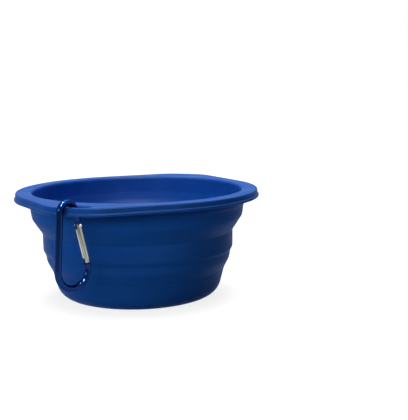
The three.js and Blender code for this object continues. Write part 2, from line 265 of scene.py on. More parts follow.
def rounded_line(corners, closed, step):
    """Points along a line of corners (across, up, rounding), as an array of (across, up).

    A rounding is the parabola that leaves one side a rounding before its corner and meets the next side a
    rounding after it, or at the side's middle where both its corners are rounded. Straight runs between
    roundings are cut evenly into parts no longer than the step.
    """
    corner = np.array([c[:2] for c in corners])
    rounding = np.array([c[2] for c in corners])
    sides = np.roll(corner, -1, axis=0) - corner
    reach = np.linalg.norm(sides, axis=1)
    shared = np.where((rounding > 0) & (np.roll(rounding, -1) > 0), 0.5, 1.0) * reach
    leave = np.minimum(rounding, shared)
    meet = np.minimum(rounding, np.roll(shared, 1))
    begin = corner - np.roll(sides / reach[:, None], 1, axis=0) * meet[:, None]
    end = corner + sides / reach[:, None] * leave[:, None]
    t = np.linspace(0, 1, ARC_STEPS + 1)[:, None]
    parts = []
    for i in range(len(corner)):
        if rounding[i] > 0:
            parts.append((1 - t) ** 2 * begin[i] + 2 * t * (1 - t) * corner[i] + t**2 * end[i])
        else:
            parts.append(corner[i : i + 1])
        if closed or i < len(corner) - 1:
            following = begin[(i + 1) % len(corner)]
            count = math.ceil(np.linalg.norm(following - end[i]) / step)
            parts.append(np.linspace(end[i], following, count + 1)[1:-1])
    line = np.concatenate(parts)
    gap = np.linalg.norm(np.roll(line, -1, axis=0) - line, axis=1)
    return line[gap > SMALLEST_GAP]


def grid_faces(rows, columns, closed):
    """Faces of a grid whose rows close on themselves: quads from row to row, counted modulo the columns.

    A closed grid joins its last row to its first. An open one gets a flat face on each of its end rows.
    """
    column = np.arange(columns)[None, :]
    beside = (column + 1) % columns
    here = np.arange(rows if closed else rows - 1)[:, None] * columns
    there = (here + columns) % (rows * columns)
    quads = np.stack([here + column, here + beside, there + beside, there + column], axis=-1)
    ends = [] if closed else [list(range(columns)), list(range((rows - 1) * columns, rows * columns))]
    return quads.reshape(-1, 4).tolist() + ends


def shade(piece):
    """Smooth shading, with edges sharper than the limit kept crisp."""
    piece.data.shade_smooth()
    piece.data.set_sharp_from_angle(angle=SMOOTH_ANGLE)


def make_piece(name, rings, material, closed=False):
    """An object at the origin from rings, an array of rows x columns x 3, with its faces turned outwards."""
    rows, columns = rings.shape[:2]
    mesh = bpy.data.meshes.new(name)
    mesh.from_pydata(rings.reshape(-1, 3).tolist(), [], grid_faces(rows, columns, closed))
    work = bmesh.new()
    work.from_mesh(mesh)
    bmesh.ops.recalc_face_normals(work, faces=work.faces)
    work.to_mesh(mesh)
    work.free()
    piece = bpy.data.objects.new(name, mesh)
    bpy.context.scene.collection.objects.link(piece)
    if material is not None:
        mesh.materials.append(material)
    shade(piece)
    return piece


def carve(piece, rings):
    """Cuts the solid that the rings bound out of the piece."""
    cutter = make_piece(piece.name + "_cutter", rings, None)
    cut = piece.modifiers.new("carve", "BOOLEAN")
    cut.operation = "DIFFERENCE"
    cut.solver = "EXACT"
    cut.object = cutter
    carved = bpy.data.meshes.new_from_object(piece.evaluated_get(bpy.context.evaluated_depsgraph_get()))
    spare = [piece.data, cutter.data]
    piece.modifiers.clear()
    piece.data = carved
    bpy.data.objects.remove(cutter)
    bpy.data.batch_remove(spare)
    shade(piece)


def vertex_places(piece):
    """The piece's points as an array of n x 3."""
    places = np.empty(len(piece.data.vertices) * 3)
    piece.data.vertices.foreach_get("co", places)
    return places.reshape(-1, 3)


def lay(piece, name, values):
    """Stores one number or one vector per point of the piece, for its material to read."""
    kind, field = ("FLOAT", "value") if values.ndim == 1 else ("FLOAT_VECTOR", "vector")
    attribute = piece.data.attributes.new(name, kind, "POINT")
    attribute.data.foreach_set(field, values.astype(np.float32).ravel())


def full_circle(count, shift=0.0):
    """Angles evenly spaced round a circle, the first one a share of a space on."""
    return np.linspace(0, 2 * math.pi, count, endpoint=False) + shift * 2 * math.pi / count


def smooth_step(value, low, high):
    """Rises from 0 at low to 1 at high as 3t^2 - 2t^3."""
    t = np.clip((value - low) / (high - low), 0, 1)
    return t * t * (3 - 2 * t)


# Node trees


def feed(tree, node, inputs):
    """Fills inputs of a node: a socket is linked, and anything else is the input's own value."""
    for name, value in inputs.items():
        if isinstance(value, bpy.types.NodeSocket):
            tree.links.new(value, node.inputs[name])
        else:
            node.inputs[name].default_value = value


def put(tree, kind, inputs=None, **settings):
    """A new node with its settings and inputs."""
    node = tree.nodes.new(kind)
    for name, value in settings.items():
        setattr(node, name, value)
    feed(tree, node, inputs or {})
    return node


def maths(tree, operation, *values):
    """Two or three values worked together, the result held between 0 and 1."""
    node = put(tree, "ShaderNodeMath", dict(enumerate(values)), operation=operation, use_clamp=True)
    return node.outputs["Value"]


def ranged(tree, value, low=0, high=1, start=0, end=1, kind="LINEAR"):
    """A value spread from low, at start, to high, at end."""
    inputs = {"Value": value, "From Min": start, "From Max": end, "To Min": low, "To Max": high}
    return put(tree, "ShaderNodeMapRange", inputs, interpolation_type=kind).outputs["Result"]


def eased(tree, value, start, end, low=0):
    """A value spread smoothly from low, at start, to 1, at end."""
    return ranged(tree, value, low, 1, start, end, "SMOOTHSTEP")


def noise(tree, place, scale, detail, roughness=0.5):
    """Noise at a place."""
    inputs = {"Vector": place, "Scale": scale, "Detail": detail, "Roughness": roughness}
    return put(tree, "ShaderNodeTexNoise", inputs).outputs["Fac"]


def new_group(name, values, results):
    """An empty shader node group that takes a vector and named values, and puts out named results."""
    group = bpy.data.node_groups.new(name, "ShaderNodeTree")
    group.interface.new_socket(name="Vector", in_out="INPUT", socket_type="NodeSocketVector")
    for label in values:
        group.interface.new_socket(name=label, in_out="INPUT", socket_type="NodeSocketFloat")
    for label in results:
        group.interface.new_socket(name=label, in_out="OUTPUT", socket_type="NodeSocketFloat")
    return group, put(group, "NodeGroupInput").outputs, put(group, "NodeGroupOutput")


def cloud_and_grain_group(name):
    """Soft clouds for uneven colour and gloss, and a fine grain for the surface's relief."""
    group, given, made = new_group(name, ["Cloud Scale", "Grain Scale"], ["Cloud", "Grain"])
    cloud = noise(group, given["Vector"], given["Cloud Scale"], detail=4, roughness=0.55)
    grain = noise(group, given["Vector"], given["Grain Scale"], detail=2)
    feed(group, made, {"Cloud": eased(group, cloud, start=0.32, end=0.68), "Grain": grain})
    return group


def drawn_streaks_group(name):
    """Streaks along a drawn rod: noise on the rod's straightened coordinates, stretched along its length."""
    group, given, made = new_group(name, ["Scale", "Stretch"], ["Streak"])
    stretch = put(group, "ShaderNodeCombineXYZ", {"X": given["Stretch"], "Y": 1, "Z": 1}).outputs["Vector"]
    along = put(group, "ShaderNodeVectorMath", {0: given["Vector"], 1: stretch}, operation="MULTIPLY")
    streak = noise(group, along.outputs["Vector"], given["Scale"], detail=3)
    feed(group, made, {"Streak": eased(group, streak, start=0.34, end=0.66)})
    return group


def shared_group(tree, maker, name, inputs):
    """A group placed in a material with its own values. The group is made on its first use."""
    group = bpy.data.node_groups.get(name) or maker(name)
    return put(tree, "ShaderNodeGroup", inputs, node_tree=group).outputs


def cloud_and_grain(tree, place, cloud_scale, grain_scale):
    inputs = {"Vector": place, "Cloud Scale": cloud_scale, "Grain Scale": grain_scale}
    return shared_group(tree, cloud_and_grain_group, "Cloud and grain", inputs)


def drawn_streaks(tree, place, scale, stretch):
    inputs = {"Vector": place, "Scale": scale, "Stretch": stretch}
    return shared_group(tree, drawn_streaks_group, "Drawn streaks", inputs)["Streak"]


def two_colours(tree, plain, other, share):
    """A colour between two, by a share that varies over the surface."""
    inputs = {"A": (*plain, 1), "B": (*other, 1), "Factor": share}
    return put(tree, "ShaderNodeMix", inputs, data_type="RGBA").outputs["Result"]


def relief(tree, height, depth, strength):
    """Fine relief of a given depth."""
    inputs = {"Height": height, "Distance": depth, "Strength": strength}
    return put(tree, "ShaderNodeBump", inputs).outputs["Normal"]


def object_place(tree):
    return put(tree, "ShaderNodeTexCoord").outputs["Object"]


def stored(tree, name, field):
    return put(tree, "ShaderNodeAttribute", attribute_name=name).outputs[field]


def new_material(name):
    """A material with nodes, and its node tree."""
    material = bpy.data.materials.new(name)
    material.use_nodes = True
    return material, material.node_tree


def finished(material, looks):
    """The material, with the looks on its shader's sockets."""
    feed(material.node_tree, material.node_tree.nodes["Principled BSDF"], looks)
    return material


def silicone_finish(finishes):
    """Satin silicone: uneven blue, a little paler in the thin webs as painted light seen through them, softly
    mottled gloss and a fine grain.
    """
    material, tree = new_material("satin_silicone")
    skin = cloud_and_grain(tree, object_place(tree), cloud_scale=70, grain_scale=1800)
    cloud_share = 0.45
    # Painted light: the thin webs are made paler, as if light showed through them
    lit_through_share = ranged(tree, stored(tree, "thin_wall_glow", "Fac"), high=0.5)
    pale = maths(tree, "MULTIPLY_ADD", skin["Cloud"], cloud_share, lit_through_share)
    looks = {
        "Base Color": two_colours(tree, finishes.silicone, finishes.silicone_pale_and_lit_through, pale),
        "Roughness": ranged(tree, skin["Cloud"], low=0.46, high=0.58),
        "Specular IOR Level": 0.04,
        "Normal": relief(tree, skin["Grain"], depth=0.03 * MM, strength=0.35),
    }
    return finished(material, looks)


def anodised_finish(finishes):
    """Dyed aluminium: bright under a clear sealed skin, with streaks along the rod and rubbed patches."""
    material, tree = new_material("anodised_rod")
    grain = stored(tree, "rod_grain", "Vector")
    streak = drawn_streaks(tree, grain, scale=2200, stretch=0.04)
    cloud = cloud_and_grain(tree, grain, cloud_scale=160, grain_scale=6000)["Cloud"]
    rubbed = maths(tree, "MULTIPLY", streak, cloud)
    looks = {
        "Base Color": two_colours(tree, finishes.anodised, finishes.anodised_pale, rubbed),
        "Metallic": 1,
        "Roughness": ranged(tree, cloud, low=0.09, high=0.17),
        "Specular Tint": (*finishes.anodised_edge, 1),
        "Coat Weight": 0.08,
        "Coat Roughness": 0.06,
        "Normal": relief(tree, streak, depth=0.02 * MM, strength=0.2),
    }
    return finished(material, looks)


def bare_metal_finish(finishes):
    """Drawn bare aluminium: bright, with lengthwise streaks in its colour, gloss and relief."""
    material, tree = new_material("bare_drawn_rod")
    streak = drawn_streaks(tree, stored(tree, "rod_grain", "Vector"), scale=1600, stretch=0.03)
    looks = {
        "Base Color": two_colours(tree, finishes.bare_metal, finishes.bare_metal_dull, streak),
        "Metallic": 1,
        "Roughness": ranged(tree, streak, low=0.14, high=0.34),
        "Normal": relief(tree, streak, depth=0.03 * MM, strength=0.3),
    }
    return finished(material, looks)


def steel_finish(finishes):
    """Bright steel of the small pins, clouded where it was worked."""
    material, tree = new_material("bright_steel")
    skin = cloud_and_grain(tree, object_place(tree), cloud_scale=900, grain_scale=9000)
    looks = {
        "Base Color": two_colours(tree, finishes.steel, finishes.steel_dull, skin["Cloud"]),
        "Metallic": 1,
        "Roughness": ranged(tree, skin["Cloud"], low=0.2, high=0.38),
        "Normal": relief(tree, skin["Grain"], depth=0.01 * MM, strength=0.2),
    }
    return finished(material, looks)


# Bowl


def ear_rise(angles, sizes):
    """How far the ears push the rim out at an angle from the front ear.

    A flank is the straight tangent to the rim's circle at the ear's root: at an angle d from the root, its
    radius is the rim's over cos d. The tip follows the rim at the ear's full reach. The lesser of the two
    holds, and where they lie within a corner rounding k of each other, a smooth minimum that is k/4 less at
    the corner itself. The plain ear at the back mirrors the slotted one.
    """
    reach = RIM_HIGH.y - sizes.rim_radius
    root = math.asin(sizes.ear_root_width / 2 / sizes.rim_radius)
    off_front = np.abs((angles + math.pi) % (2 * math.pi) - math.pi)
    off_ear = np.minimum(off_front, math.pi - off_front)
    flank = sizes.rim_radius / np.cos(np.maximum(root - off_ear, 0)) - sizes.rim_radius
    share = np.clip(0.5 + (reach - flank) / (2 * sizes.ear_corner_round), 0, 1)
    return reach + share * (flank - reach) - sizes.ear_corner_round * share * (1 - share)


def turned(profile, sizes):
    """A profile of (radius, height) carried round the bowl's axis, with the flange drawn out into the ears.

    A point at radius r and angle a goes to r sin a, -r cos a. Beyond the flange's root, the ear's rise is
    added to r, growing evenly to its full amount before the flange's rounded edge.
    """
    angles = full_circle(BOWL_COLUMNS)
    root = sizes.rim_band_radius + sizes.flange_root_round
    edge = sizes.rim_radius - sizes.lip_step - sizes.flange_edge_round
    drawn = np.clip((profile[:, 0] - root) / (edge - root), 0, 1)
    radius = profile[:, :1] + drawn[:, None] * ear_rise(angles, sizes)[None, :]
    height = np.broadcast_to(profile[:, 1:], radius.shape)
    return np.stack([radius * np.sin(angles), -radius * np.cos(angles), height], axis=-1)


def web_corners(band_top, slant, shelf, sizes):
    """A web over a band: knee radius and height, neck radius, inner knee's height and slope's level wall.

    The slope rises by the slant and spreads by the shelf. The inner knee is where the inner faces of slope
    and neck meet, each a wall inside its outer face.
    """
    wall = sizes.fold_wall
    radius = band_top.x + shelf
    knee = band_top.z + slant
    level_wall = wall * math.hypot(slant, shelf) / slant
    return radius, knee, radius + sizes.neck_draft, knee + (level_wall - wall) * slant / shelf, level_wall


def band_middle(sizes):
    """Where the two shells meet, half way up the middle band: outer radius, inner radius and height.

    The inner wall is a straight line from the lower web's inner face up to the ledge below the upper web.
    """
    height = (BAND_LOW.z + sizes.shoulder_height + BAND_HIGH.z) / 2
    outer = BAND_HIGH.x - sizes.band_draft / 2
    inner_high = BAND_HIGH.x - sizes.thick_wall
    ledge = BAND_HIGH.z - sizes.ledge_height
    below_ledge = (ledge - height) / (ledge - BAND_LOW.z)
    return outer, inner_high - sizes.band_draft * below_ledge, height


def upper_profile(sizes):
    """Closed outline of the upper shell: half the middle band, the upper web, the rim band and the flange."""
    outer, inner, cut = band_middle(sizes)
    web = web_corners(BAND_HIGH, sizes.upper_slant, sizes.upper_shelf, sizes)
    knee_radius, knee, neck_radius, inside_knee, level_wall = web
    underside = RIM_HIGH.z - sizes.flange_thickness
    lip_top = underside + sizes.lip_height
    lip = sizes.rim_radius
    edge = lip - sizes.lip_step
    mouth = sizes.rim_band_radius - sizes.thick_wall
    soft = sizes.soft_edge
    return [
        (outer, cut, 0),
        (BAND_HIGH.x, BAND_HIGH.z, soft),
        (knee_radius, knee, sizes.knee_round),
        (neck_radius, RIM_LOW.z, soft),
        (sizes.rim_band_radius, RIM_LOW.z + sizes.shoulder_height, sizes.shoulder_round),
        (sizes.rim_band_radius, underside, sizes.flange_root_round),
        (lip, underside, sizes.lip_under_round),
        (lip, lip_top - sizes.lip_slope, sizes.lip_round),
        (edge, lip_top, 0),
        (edge, RIM_HIGH.z, sizes.flange_edge_round),
        (mouth, RIM_HIGH.z, sizes.mouth_round),
        (mouth, RIM_LOW.z, soft),
        (knee_radius - sizes.fold_wall, inside_knee, sizes.knee_round),
        (BAND_HIGH.x - level_wall, BAND_HIGH.z, soft),
        (BAND_HIGH.x - sizes.thick_wall, BAND_HIGH.z - sizes.ledge_height, sizes.shoulder_round),
        (inner, cut, 0),
    ]


def lower_profile(sizes):
    """Outline of the lower shell from the base's middle, out and up, and back inside to the floor."""
    outer, inner, cut = band_middle(sizes)
    web = web_corners(FOOT_HIGH, sizes.lower_slant, sizes.lower_shelf, sizes)
    knee_radius, knee, neck_radius, inside_knee, level_wall = web
    band_low = BAND_HIGH.x - sizes.band_draft
    floor_radius = FOOT_HIGH.x - sizes.foot_draft - sizes.thick_wall
    soft = sizes.soft_edge
    return [
        (BOWL_POLE, FOOT_LOW.z, 0),
        (FOOT_HIGH.x - sizes.foot_draft, FOOT_LOW.z, sizes.foot_round),
        (FOOT_HIGH.x, FOOT_HIGH.z, soft),
        (knee_radius, knee, sizes.knee_round),
        (neck_radius, BAND_LOW.z, soft),
        (band_low, BAND_LOW.z + sizes.shoulder_height, sizes.shoulder_round),
        (outer, cut, 0),
        (inner, cut, 0),
        (neck_radius - sizes.fold_wall, BAND_LOW.z, soft),
        (knee_radius - sizes.fold_wall, inside_knee, sizes.knee_round),
        (FOOT_HIGH.x - level_wall, FOOT_HIGH.z, soft),
        (FOOT_HIGH.x - sizes.thick_wall, FOOT_HIGH.z - sizes.ledge_height, sizes.shoulder_round),
        (floor_radius, FOOT_LOW.z + sizes.floor_thickness, sizes.floor_round),
        (BOWL_POLE, FOOT_LOW.z + sizes.floor_thickness, 0),
    ]


def slot_cutter(sizes):
    """Rings of the slot through the front ear: a stadium that flares at both faces.

    A ring's point at angle a lies at the straight half's end plus radius times (cos a, sin a). The radius is
    half the slot's width, plus an edge rounding times 1 - sin b, b going over a quarter turn from each face.
    """
    top = RIM_HIGH.z
    underside = top - sizes.flange_thickness
    flare = sizes.slot_round
    quarter = np.linspace(0, math.pi / 2, ARC_STEPS + 1)
    down = np.concatenate([[top + flare], top - flare * (1 - np.cos(quarter))])
    wide = np.concatenate([[flare], flare * (1 - np.sin(quarter))])
    heights = np.concatenate([down, (top + underside - down)[::-1]])
    radii = sizes.slot_width / 2 + np.concatenate([wide, wide[::-1]])
    around = full_circle(2 * ROD_SIDES, shift=0.5)
    half = (sizes.slot_length - sizes.slot_width) / 2
    centre = -(RIM_HIGH.y - sizes.strap_width - sizes.slot_width / 2)
    across = half * np.sign(np.cos(around)) + radii[:, None] * np.cos(around)
    out = centre + radii[:, None] * np.sin(around)
    return np.stack([across, out, np.broadcast_to(heights[:, None], across.shape)], axis=-1)


def lay_thin_wall_glow(piece, low, high):
    """Marks a web, between two heights, as thin, fading at both ends: its material paints it paler, as light
    seen through the thin wall.
    """
    height = vertex_places(piece)[:, 2]
    thin = smooth_step(height, low, low + THIN_FADE) * (1 - smooth_step(height, high - THIN_FADE, high))
    lay(piece, "thin_wall_glow", thin)


class PETBOWL_OT_bowl(bpy.types.Operator):
    """Make the silicone bowl as two shells that meet inside the middle band, each with its web"""

    bl_idname = "petbowl.bowl"
    bl_label = "Bowl"

    def execute(self, context):
        sizes = context.scene.petbowl_bowl
        material = silicone_finish(context.scene.petbowl_finishes)

        upper_line = rounded_line(upper_profile(sizes), closed=True, step=BOWL_ROW_STEP)
        upper = make_piece("bowl_upper", turned(upper_line, sizes), material, closed=True)
        carve(upper, slot_cutter(sizes))
        lay_thin_wall_glow(upper, BAND_HIGH.z, RIM_LOW.z)
        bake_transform(upper)
        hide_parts("rim_flange", "upper_fold")

        lower_line = rounded_line(lower_profile(sizes), closed=False, step=BOWL_ROW_STEP)
        lower = make_piece("bowl_lower", turned(lower_line, sizes), material)
        lay_thin_wall_glow(lower, FOOT_HIGH.z, BAND_LOW.z)
        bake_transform(lower)
        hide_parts("middle_band", "lower_fold", "base_cup")
        return {"FINISHED"}


# Clip


class ClipPlan:
    """The clip's plan, worked out from its sizes and the frame's two pivots.

    The plan is drawn about the swing's pivot, x towards the bowl and y up, and leans in the plane that is
    square to the swing's axis. The small bend is a circle about the pivot, the big bend a circle below it,
    and both legs are their common tangents. The gate lies on the tangent on the bowl's side.
    """

    def __init__(self, sizes):
        self.pivot = np.array(JOINTS["clip_swing"]["pos_m"])
        self.hinge = np.array(JOINTS["gate_hinge"]["pos_m"])
        axis = np.array(JOINTS["clip_swing"]["axis"])
        self.side = -axis / np.linalg.norm(axis)
        self.up = np.array([0.0, 0.0, 1.0])
        self.inward = np.cross(self.up, self.side)
        rod = sizes.rod_diameter
        arm = self.hinge - self.pivot
        self.small = math.sqrt(arm @ arm - sizes.hinge_run**2)
        self.big = (sizes.clip_width - rod) / 2
        self.drop = sizes.clip_length - rod - self.small - self.big
        self.flare = math.asin((self.big - self.small) / self.drop)
        self.leg = self.drop * math.cos(self.flare)
        tilt = math.atan2(arm @ self.up, arm @ self.inward) + math.atan2(sizes.hinge_run, self.small)
        self.lean = tilt - self.flare
        self.gate_up = -math.sin(tilt) * self.inward + math.cos(tilt) * self.up
        self.gate_in = math.cos(tilt) * self.inward + math.sin(tilt) * self.up
        self.gate_reach = self.leg - sizes.hinge_run - sizes.end_gap - sizes.nose_run
        self.latch = -self.gate_reach + sizes.nose_tongue_length / 2

    def leg_point(self, distance):
        """Plan point on the gate's side, a distance below the small bend."""
        cosine, sine = math.cos(self.flare), math.sin(self.flare)
        x = self.small * cosine + distance * sine
        y = self.small * sine - distance * cosine
        return np.stack([x, y], axis=-1)

    def place(self, plan):
        """Plan points, measured from the pivot, or plan directions, in the frame: turned by the lean."""
        x = plan[..., :1] * math.cos(self.lean) - plan[..., 1:2] * math.sin(self.lean)
        y = plan[..., :1] * math.sin(self.lean) + plan[..., 1:2] * math.cos(self.lean)
        return x * self.inward + y * self.up

    def on_gate(self, along, inward, sideways):
        """Points given on the gate's own axis, measured up from its rivet."""
        return (
            self.hinge
            + along[..., None] * self.gate_up
            + inward[..., None] * self.gate_in
            + sideways[..., None] * self.side
        )


def arc(centre, radius, start, end, steps):
    """Plan points and directions along a circle, counterclockwise from start to end."""
    turn = np.linspace(start, end, steps + 1)
    outward = np.stack([np.cos(turn), np.sin(turn)], axis=-1)
    forward = np.stack([-np.sin(turn), np.cos(turn)], axis=-1)
    return np.array(centre) + radius * outward, forward


def leg_rows(places, wide, thick, exponent):
    """Rows of a leg: place below the small bend, half width, half thickness and exponent of each ring."""
    return np.stack(np.broadcast_arrays(places, wide, thick, exponent), axis=-1)


def bow_rings(plan, sizes):
    """Rings of the bow, a rod carried round the plan, and the straightened coordinates of its points.

    A ring's point at angle a lies at width w sign(cos a)|cos a|^(2/n) across the plan and thickness
    h sign(sin a)|sin a|^(2/n) out of it: n = 2 is the round rod, and a large n the flat tongue at each end.
    """
    radius = sizes.rod_diameter / 2
    flat = sizes.tongue_thickness / 2
    hinge_half = sizes.hinge_tongue_width / 2
    nose_half = sizes.nose_tongue_width / 2
    nose_end = plan.leg - sizes.nose_run
    rod = (radius, radius, ROUND_ROD)
    shoulder = (radius - sizes.edge_break, radius - sizes.edge_break, ROUND_ROD)

    tip = np.linspace(TONGUE_TIP, math.pi / 2, ARC_STEPS + 1)
    tip_places = sizes.hinge_run + hinge_half - hinge_half * (1 - np.cos(tip))
    hinge = np.concatenate(
        [
            leg_rows(tip_places, hinge_half * np.sin(tip), flat, FLAT_TONGUE),
            leg_rows([sizes.hinge_drop], hinge_half, flat, FLAT_TONGUE),
            leg_rows([sizes.hinge_drop], *shoulder),
            leg_rows(np.linspace(sizes.hinge_drop - sizes.edge_break, 0, LEG_ROWS), *rod),
        ]
    )
    corner = np.linspace(0, math.pi / 2, ARC_STEPS + 1)
    nose_tip = nose_end - sizes.end_gap - sizes.nose_tongue_length
    nose_places = nose_tip + sizes.nose_tongue_round * (1 - np.sin(corner))
    nose_widths = nose_half - sizes.nose_tongue_round * (1 - np.cos(corner))
    nose = np.concatenate(
        [
            leg_rows([plan.leg, nose_end + sizes.edge_break / 2], *rod),
            leg_rows([nose_end], *shoulder),
            leg_rows([nose_end], nose_half, flat, FLAT_TONGUE),
            leg_rows(nose_places, nose_widths, flat, FLAT_TONGUE),
        ]
    )

    left = math.pi - plan.flare
    right = 2 * math.pi + plan.flare
    small_arc, small_forward = arc((0, 0), plan.small, plan.flare, left, SMALL_BEND_STEPS)
    big_arc, big_forward = arc((0, -plan.drop), plan.big, left, right, BIG_BEND_STEPS)
    run = big_arc[0] - small_arc[-1]
    spine = small_arc[-1] + np.linspace(0, 1, SPINE_ROWS)[1:-1, None] * run
    bends = np.concatenate([small_arc[1:], spine, big_arc[:-1]])
    points = np.concatenate([plan.leg_point(hinge[:, 0]), bends, plan.leg_point(nose[:, 0])])
    leg_forward = plan.leg_point(0.0) - plan.leg_point(1.0)
    forward = np.concatenate(
        [
            np.tile(leg_forward, (len(hinge), 1)),
            small_forward[1:],
            np.tile(run / np.linalg.norm(run), (len(spine), 1)),
            big_forward[:-1],
            np.tile(leg_forward, (len(nose), 1)),
        ]
    )
    sections = np.concatenate([hinge[:, 1:], np.tile(rod, (len(bends), 1)), nose[:, 1:]])
    wide, thick, exponent = sections.T[..., None]

    around = full_circle(ROD_SIDES, shift=0.5)
    cosine, sine = np.cos(around), np.sin(around)
    across = wide * np.sign(cosine) * np.abs(cosine) ** (2 / exponent)
    outward = thick * np.sign(sine) * np.abs(sine) ** (2 / exponent)
    normal = np.stack([-forward[:, 1], forward[:, 0]], axis=-1)
    rings = (
        plan.pivot
        + plan.place(points)[:, None, :]
        + across[..., None] * plan.place(normal)[:, None, :]
        + outward[..., None] * plan.side
    )
    travelled = np.concatenate([[0], np.cumsum(np.linalg.norm(np.diff(points, axis=0), axis=1))])
    along = np.broadcast_to(travelled[:, None], across.shape)
    return rings, np.stack([along, across, outward], axis=-1)


def gate_rings(plan, sizes):
    """Rings of the gate: a rod from its flat nose end to its dome, turned about its own axis."""
    radius = sizes.gate_diameter / 2
    quarter = np.linspace(0, math.pi / 2 - DOME_TIP, 2 * ARC_STEPS)
    shaft = np.linspace(-plan.gate_reach + sizes.edge_break, 0, GATE_ROWS)[:-1]
    along = np.concatenate([[-plan.gate_reach], shaft, radius * np.sin(quarter)])
    end = [radius - sizes.edge_break]
    rods = np.concatenate([end, np.full(len(shaft), radius), radius * np.cos(quarter)])
    around = full_circle(ROD_SIDES)
    inward = rods[:, None] * np.cos(around)
    sideways = rods[:, None] * np.sin(around)
    return plan.on_gate(np.broadcast_to(along[:, None], inward.shape), inward, sideways)


def gate_prism(plan, low, high, inward, sideways):
    """Rings of a prism on the gate's axis: an outline of (inward, sideways), repeated at low and at high."""
    ends = np.array([low, high])[:, None]
    return plan.on_gate(ends + 0 * inward, inward + 0 * ends, sideways + 0 * ends)


def cross_rings(plan, place, profile, stretch=0.0):
    """Rings of a pin across the gate's axis: a profile of (radius, sideways) turned about the pin's own axis.

    The half of each ring on the bowl's side is moved out by the stretch, which makes an open notch of it.
    """
    around = full_circle(ROD_SIDES, shift=0.5)
    inward = profile[:, :1] * np.cos(around) + np.where(np.cos(around) > 0, stretch, 0.0)
    along = place + profile[:, :1] * np.sin(around)
    return plan.on_gate(along, inward, np.broadcast_to(profile[:, 1:], along.shape))


def hole_profile(diameter, play, sizes):
    """Profile of a hole straight through the gate, with play round its pin, beyond both sides."""
    radius = diameter / 2 + play
    return np.array([[radius, -sizes.gate_diameter], [radius, sizes.gate_diameter]])


def pin_profile(upper_corners):
    """Profile of a pin: the corners (radius, sideways, rounding) of its upper half, mirrored below."""
    lower_corners = [(radius, -sideways, rounding) for radius, sideways, rounding in reversed(upper_corners)]
    return rounded_line(lower_corners + upper_corners, closed=False, step=PIN_ROW_STEP)


class PETBOWL_OT_clip_bow(bpy.types.Operator):
    """Make the clip's bow, the bent rod with a flattened tongue at each end"""

    bl_idname = "petbowl.clip_bow"
    bl_label = "Clip bow"

    def execute(self, context):
        sizes = context.scene.petbowl_clip
        plan = ClipPlan(sizes)
        rings, grain = bow_rings(plan, sizes)
        bow = make_piece("clip_bow", rings, anodised_finish(context.scene.petbowl_finishes))
        lay(bow, "rod_grain", grain.reshape(-1, 3))
        rivet_hole = hole_profile(sizes.rivet_diameter, sizes.pin_play, sizes)
        carve(bow, cross_rings(plan, 0.0, rivet_hole))
        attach(bow, "clip")
        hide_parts("clip_frame")
        return {"FINISHED"}


class PETBOWL_OT_clip_gate(bpy.types.Operator):
    """Make the clip's gate, a rod slotted at both ends, bored for its spring and notched for the latch pin"""

    bl_idname = "petbowl.clip_gate"
    bl_label = "Clip gate"

    def execute(self, context):
        sizes = context.scene.petbowl_clip
        plan = ClipPlan(sizes)
        gate = make_piece(
            "gate_rod", gate_rings(plan, sizes), bare_metal_finish(context.scene.petbowl_finishes)
        )
        slot_half = sizes.tongue_thickness / 2 + sizes.side_play
        wide = sizes.gate_diameter
        hinge_slot = -sizes.hinge_tongue_width / 2 - sizes.tip_play
        nose_slot = -plan.gate_reach + sizes.nose_tongue_length + sizes.swing_play
        rivet_hole = hole_profile(sizes.rivet_diameter, sizes.pin_play, sizes)
        latch_notch = hole_profile(sizes.pin_diameter, sizes.side_play, sizes)
        bore = sizes.spring_bore / 2
        bore_top = hinge_slot + sizes.tip_play / 2
        bore_end = bore_top - sizes.spring_bore_depth
        around = full_circle(ROD_SIDES, shift=0.5)
        slot_in = wide * np.array([1, -1, -1, 1])
        slot_side = slot_half * np.array([1, 1, -1, -1])
        carve(gate, gate_prism(plan, hinge_slot, wide, slot_in, slot_side))
        carve(gate, gate_prism(plan, -plan.gate_reach - wide, nose_slot, slot_in, slot_side))
        carve(gate, gate_prism(plan, bore_end, bore_top, bore * np.cos(around), bore * np.sin(around)))
        carve(gate, cross_rings(plan, 0.0, rivet_hole))
        carve(gate, cross_rings(plan, plan.latch, latch_notch, stretch=wide))
        offset = vertex_places(gate) - plan.hinge
        lay(gate, "rod_grain", offset @ np.stack([plan.gate_up, plan.gate_in, plan.side], axis=1))
        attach(gate, "gate")
        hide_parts("clip_gate")
        return {"FINISHED"}


class PETBOWL_OT_clip_pins(bpy.types.Operator):
    """Make the gate's rivet and the latch pin, and finish the spring inside the gate"""

    bl_idname = "petbowl.clip_pins"
    bl_label = "Clip pins"

    def execute(self, context):
        sizes = context.scene.petbowl_clip
        plan = ClipPlan(sizes)
        steel = steel_finish(context.scene.petbowl_finishes)

        shank = sizes.rivet_diameter / 2
        head = sizes.rivet_head_diameter / 2
        under = sizes.gate_diameter / 2 + sizes.pin_play
        top = under + sizes.rivet_head_height
        head_corners = [(head, under, 0), (head, top, sizes.rivet_head_height), (PIN_POLE, top, 0)]
        rivet_profile = pin_profile([(shank, under, 0), *head_corners])
        rivet = make_piece("gate_rivet", cross_rings(plan, 0.0, rivet_profile), steel)
        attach(rivet, "gate")
        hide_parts("gate_hinge_rivet")

        half = sizes.gate_diameter / 2 - sizes.pin_play
        end_corner = (sizes.pin_diameter / 2, half, sizes.edge_break)
        latch_profile = pin_profile([end_corner, (PIN_POLE, half, 0)])
        pin = make_piece("nose_pin", cross_rings(plan, plan.latch, latch_profile), steel)
        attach(pin, "clip")
        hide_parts("latch_pin")

        spring = frame["nodes"]["gate_spring"]
        spring.data.materials.clear()
        spring.data.materials.append(steel)
        return {"FINISHED"}


# Stage


